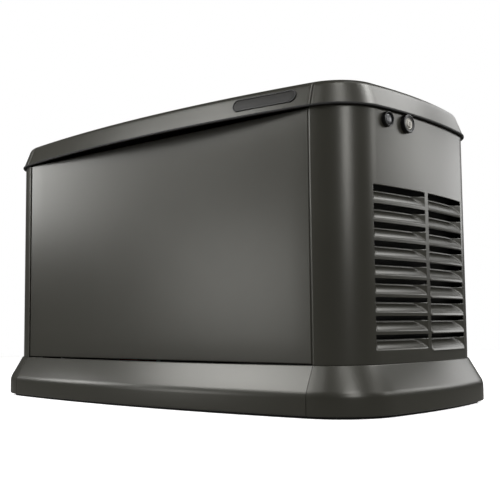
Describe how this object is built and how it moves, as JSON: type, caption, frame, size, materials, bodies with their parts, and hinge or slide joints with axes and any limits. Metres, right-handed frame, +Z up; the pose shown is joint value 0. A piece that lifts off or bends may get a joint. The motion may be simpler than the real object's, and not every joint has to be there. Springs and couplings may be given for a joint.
{
  "type": "home standby generator",
  "caption": "Lidded, louvred cabinet on a flared base skirt, holding an air-cooled engine, alternator, battery and controls.",
  "frame": {"origin": "middle of the footprint on the ground", "axes": "+X along the cabinet towards the louvred end with the lock and lamp, +Z up, -Y the front"},
  "size_m": [1.2884, 0.7084, 0.7319],
  "materials": {
    "shell_paint": "satin textured powder coat, warm charcoal",
    "base_paint": "matt black powder coat",
    "frame_zinc": "zinc plated sheet",
    "pad_composite": "matt moulded composite",
    "black_plastic": "matt black moulded plastic",
    "gloss_black": "gloss black moulded plastic",
    "lens_smoke": "smoked translucent lens",
    "rubber": "matt rubber",
    "lock_steel": "plated lock core",
    "cast_alloy": "die cast aluminium",
    "engine_iron": "cast iron, painted",
    "steel_plain": "plain steel",
    "aluminised": "aluminised exhaust steel",
    "copper_wound": "varnished copper windings and laminations",
    "panel_grey": "control fascia",
    "button_green": "green button",
    "button_red": "red button",
    "button_blue": "blue button",
    "plaque": "blank moulded plaque",
    "red_handle": "moulded toggle",
    "oil_red": "painted filter can",
    "yellow_cap": "yellow dipstick handle"
  },
  "bodies": {
    "base": {"mounting_pad": "pad_composite", "base_frame": "base_paint", "skirt_front": "shell_paint", "skirt_rear": "shell_paint", "skirt_left_end": "shell_paint", "skirt_right_end": "shell_paint", "right_end_panel": "shell_paint", "left_end_panel": "shell_paint", "rear_panel": "shell_paint", "top_frame": "base_paint", "corner_posts": "frame_zinc", "divider_panel": "frame_zinc", "intake_baffle": "black_plastic", "lid_seal": "rubber", "hinge_frame_leaves": "base_paint", "hinge_pins": "steel_plain", "lock_bezels": "gloss_black", "lamp_bezel": "gloss_black", "lamp_lens": "lens_smoke", "engine_cradle": "base_paint", "vibration_mounts": "rubber", "crankcase": "cast_alloy", "cylinder_barrels": "engine_iron", "cylinder_heads": "cast_alloy", "rocker_covers": "cast_alloy", "spark_plugs": "rubber", "blower_housing": "base_paint", "stator_can": "frame_zinc", "bearing_carrier": "cast_alloy", "starter_motor": "base_paint", "oil_filter": "oil_red", "intake_manifold": "cast_alloy", "air_filter_box": "black_plastic", "exhaust_pipes": "aluminised", "muffler": "aluminised", "fuel_regulator": "cast_alloy", "fuel_inlet_pipe": "steel_plain", "fuel_hose": "rubber", "control_box": "frame_zinc", "control_panel": "panel_grey", "main_breaker": "black_plastic", "battery": "black_plastic", "conduit_hub": "steel_plain", "panel_screws": "steel_plain"},
    "lid": {"lid_roof": "shell_paint", "lid_end_cap_right": "shell_paint", "lid_end_cap_left": "shell_paint", "lid_badge": "plaque", "hinge_lid_leaves": "base_paint"},
    "access_panel": {"front_panel": "shell_paint"},
    "lock_right": {"lock_barrel_right": "lock_steel"},
    "lock_left": {"lock_barrel_left": "lock_steel"},
    "rotor": {"alternator_rotor": "copper_wound", "flywheel_fan": "black_plastic"},
    "dipstick": {"oil_dipstick": "yellow_cap"},
    "filter_cover": {"air_filter_cover": "black_plastic"},
    "auto_button": {"button_auto": "button_green"},
    "off_button": {"button_off": "button_red"},
    "manual_button": {"button_manual": "button_blue"},
    "breaker_toggle": {"breaker_handle": "red_handle"}
  },
  "joints": [
    {"name": "lid_hinge", "type": "hinge", "parent": "base", "child": "lid", "pos_m": [0, 0.33, 0.646], "axis": [-1, 0, 0], "range_deg": [0, 95]},
    {"name": "front_panel_pull", "type": "slide", "parent": "base", "child": "access_panel", "axis": [0, -1, 0], "range_m": [0, 0.4]},
    {"name": "lock_right_turn", "type": "hinge", "parent": "base", "child": "lock_right", "pos_m": [0.6063, -0.083, 0.624], "axis": [0.9979, -0.0651, 0], "range_deg": [0, 90]},
    {"name": "lock_left_turn", "type": "hinge", "parent": "base", "child": "lock_left", "pos_m": [-0.6063, -0.083, 0.624], "axis": [-0.9979, -0.0651, 0], "range_deg": [0, 90]},
    {"name": "engine_spin", "type": "hinge", "parent": "base", "child": "rotor", "pos_m": [0, 0, 0.23], "axis": [1, 0, 0], "continuous": true},
    {"name": "air_cover_lift", "type": "slide", "parent": "base", "child": "filter_cover", "axis": [0, 0, 1], "range_m": [0, 0.09]},
    {"name": "dipstick_pull", "type": "slide", "parent": "base", "child": "dipstick", "axis": [0, 0, 1], "range_m": [0, 0.22]},
    {"name": "breaker_throw", "type": "hinge", "parent": "base", "child": "breaker_toggle", "pos_m": [0.44, -0.18207, 0.56207], "axis": [1, 0, 0], "range_deg": [0, 50]},
    {"name": "auto_press", "type": "slide", "parent": "base", "child": "auto_button", "axis": [0, 0.7071, -0.7071], "range_m": [0, 0.0025], "stiffness_N_per_m": 200},
    {"name": "off_press", "type": "slide", "parent": "base", "child": "off_button", "axis": [0, 0.7071, -0.7071], "range_m": [0, 0.0025], "stiffness_N_per_m": 200},
    {"name": "manual_press", "type": "slide", "parent": "base", "child": "manual_button", "axis": [0, 0.7071, -0.7071], "range_m": [0, 0.0025], "stiffness_N_per_m": 200}
  ]
}
